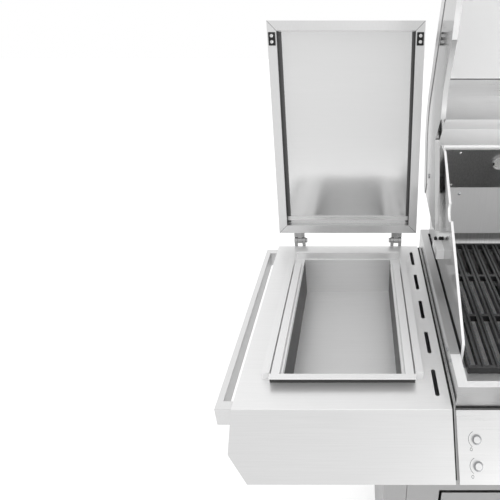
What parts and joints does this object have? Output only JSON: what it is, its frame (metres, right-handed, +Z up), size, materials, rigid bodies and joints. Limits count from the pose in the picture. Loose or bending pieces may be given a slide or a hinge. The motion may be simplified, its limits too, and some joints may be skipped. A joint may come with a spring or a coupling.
{
  "type": "gas barbecue grill",
  "caption": "Free-standing gas barbecue grill with a hinged hood, cooking grates, a lidded side station, a side shelf, control knobs and a wheeled cabinet with doors.",
  "frame": {"origin": "on the floor under the middle of the whole grill with its hood and side lid open", "axes": "+Z up, +X to the grill's right as its user sees it, +Y to its back"},
  "size_m": [1.8012, 0.8012, 1.745],
  "materials": {
    "stainless": "satin",
    "bright_stainless": "polished",
    "cast_grate": "matte porcelain enamel",
    "dark_panel": "satin",
    "chrome": "polished",
    "rubber": "matte",
    "brass": "satin",
    "zinc": "zinc plated",
    "lamp": "clear",
    "dial": "polished",
    "caster_tread": "matte"
  },
  "bodies": {
    "grill": {"firebox_shell": "stainless", "firebox_liner": "stainless", "left_cheek": "bright_stainless", "right_cheek": "bright_stainless", "rear_housing": "stainless", "rear_panel": "dark_panel", "rear_lamps": "lamp", "left_grate": "cast_grate", "center_grate": "cast_grate", "right_grate": "cast_grate", "flame_tamers": "stainless", "burner_tubes": "stainless", "gas_valves": "brass", "control_panel": "stainless", "control_bezels": "chrome", "hood_hinge_pins": "zinc", "station_deck": "stainless", "station_housing": "stainless", "well_pan": "stainless", "well_rails": "stainless", "left_towel_rail": "stainless", "right_towel_rail": "stainless", "right_shelf": "stainless", "lid_hinge_brackets": "chrome", "lid_hinge_pins": "chrome", "cart_floor": "stainless", "cart_shell": "stainless", "cart_front_frame": "stainless", "door_hinge_pins": "zinc", "caster_plates": "zinc"},
    "hood": {"hood_skin": "stainless", "hood_left_side": "stainless", "hood_right_side": "stainless", "hood_liner": "bright_stainless", "hood_handle": "stainless", "thermometer": "dial"},
    "side_lid": {"lid_frame": "stainless", "lid_skin": "stainless", "lid_rib": "stainless", "lid_bumpers": "rubber", "lid_hinge_leaves": "chrome"},
    "left_door": {"left_door": "stainless", "left_door_handle": "stainless"},
    "right_door": {"right_door": "stainless", "right_door_handle": "stainless"},
    "drip_tray": {"drip_tray": "stainless"},
    "igniter_button": {"igniter_button": "chrome"},
    "light_button": {"light_button": "chrome"},
    "knob_1": {"knob_1": "chrome"},
    "knob_2": {"knob_2": "chrome"},
    "knob_3": {"knob_3": "chrome"},
    "knob_4": {"knob_4": "chrome"},
    "front_left_fork": {"front_left_caster_fork": "zinc"},
    "front_left_wheel": {"front_left_caster_wheel": "caster_tread"},
    "front_right_fork": {"front_right_caster_fork": "zinc"},
    "front_right_wheel": {"front_right_caster_wheel": "caster_tread"},
    "rear_left_fork": {"rear_left_caster_fork": "zinc"},
    "rear_left_wheel": {"rear_left_caster_wheel": "caster_tread"},
    "rear_right_fork": {"rear_right_caster_fork": "zinc"},
    "rear_right_wheel": {"rear_right_caster_wheel": "caster_tread"}
  },
  "joints": [
    {"name": "hood_hinge", "type": "hinge", "parent": "grill", "child": "hood", "pos_m": [0, 0.233, 1.157], "axis": [1, 0, 0], "range_deg": [0, 89.7]},
    {"name": "side_lid_hinge", "type": "hinge", "parent": "grill", "child": "side_lid", "pos_m": [-0.667, 0.292, 0.933], "axis": [1, 0, 0], "range_deg": [0, 98]},
    {"name": "left_door_hinge", "type": "hinge", "parent": "grill", "child": "left_door", "pos_m": [-0.447, -0.297, 0.42], "axis": [0, 0, -1], "range_deg": [0, 100]},
    {"name": "right_door_hinge", "type": "hinge", "parent": "grill", "child": "right_door", "pos_m": [0.447, -0.297, 0.42], "axis": [0, 0, 1], "range_deg": [0, 100]},
    {"name": "drip_tray_slide", "type": "slide", "parent": "grill", "child": "drip_tray", "axis": [0, -1, 0], "range_m": [0, 0.38]},
    {"name": "igniter_push", "type": "slide", "parent": "grill", "child": "igniter_button", "axis": [0, 0.7071, -0.7071], "range_m": [0, 0.0025], "stiffness_N_per_m": 400},
    {"name": "light_push", "type": "slide", "parent": "grill", "child": "light_button", "axis": [0, 0.7071, -0.7071], "range_m": [0, 0.0025], "stiffness_N_per_m": 400},
    {"name": "knob_1_turn", "type": "hinge", "parent": "grill", "child": "knob_1", "pos_m": [-0.3285, -0.35867, 0.86883], "axis": [0, -0.7071, 0.7071], "range_deg": [0, 180]},
    {"name": "knob_2_turn", "type": "hinge", "parent": "grill", "child": "knob_2", "pos_m": [-0.1095, -0.35867, 0.86883], "axis": [0, -0.7071, 0.7071], "range_deg": [0, 180]},
    {"name": "knob_3_turn", "type": "hinge", "parent": "grill", "child": "knob_3", "pos_m": [0.1095, -0.35867, 0.86883], "axis": [0, -0.7071, 0.7071], "range_deg": [0, 180]},
    {"name": "knob_4_turn", "type": "hinge", "parent": "grill", "child": "knob_4", "pos_m": [0.3285, -0.35867, 0.86883], "axis": [0, -0.7071, 0.7071], "range_deg": [0, 180]},
    {"name": "front_left_swivel", "type": "hinge", "parent": "grill", "child": "front_left_fork", "pos_m": [-0.508, -0.231, 0.11], "axis": [0, 0, 1], "continuous": true},
    {"name": "front_left_roll", "type": "hinge", "parent": "front_left_fork", "child": "front_left_wheel", "pos_m": [-0.508, -0.203, 0.05], "axis": [1, 0, 0], "continuous": true},
    {"name": "front_right_swivel", "type": "hinge", "parent": "grill", "child": "front_right_fork", "pos_m": [0.508, -0.231, 0.11], "axis": [0, 0, 1], "continuous": true},
    {"name": "front_right_roll", "type": "hinge", "parent": "front_right_fork", "child": "front_right_wheel", "pos_m": [0.508, -0.203, 0.05], "axis": [1, 0, 0], "continuous": true},
    {"name": "rear_left_swivel", "type": "hinge", "parent": "grill", "child": "rear_left_fork", "pos_m": [-0.508, 0.179, 0.11], "axis": [0, 0, 1], "continuous": true},
    {"name": "rear_left_roll", "type": "hinge", "parent": "rear_left_fork", "child": "rear_left_wheel", "pos_m": [-0.508, 0.207, 0.05], "axis": [1, 0, 0], "continuous": true},
    {"name": "rear_right_swivel", "type": "hinge", "parent": "grill", "child": "rear_right_fork", "pos_m": [0.508, 0.179, 0.11], "axis": [0, 0, 1], "continuous": true},
    {"name": "rear_right_roll", "type": "hinge", "parent": "rear_right_fork", "child": "rear_right_wheel", "pos_m": [0.508, 0.207, 0.05], "axis": [1, 0, 0], "continuous": true}
  ]
}
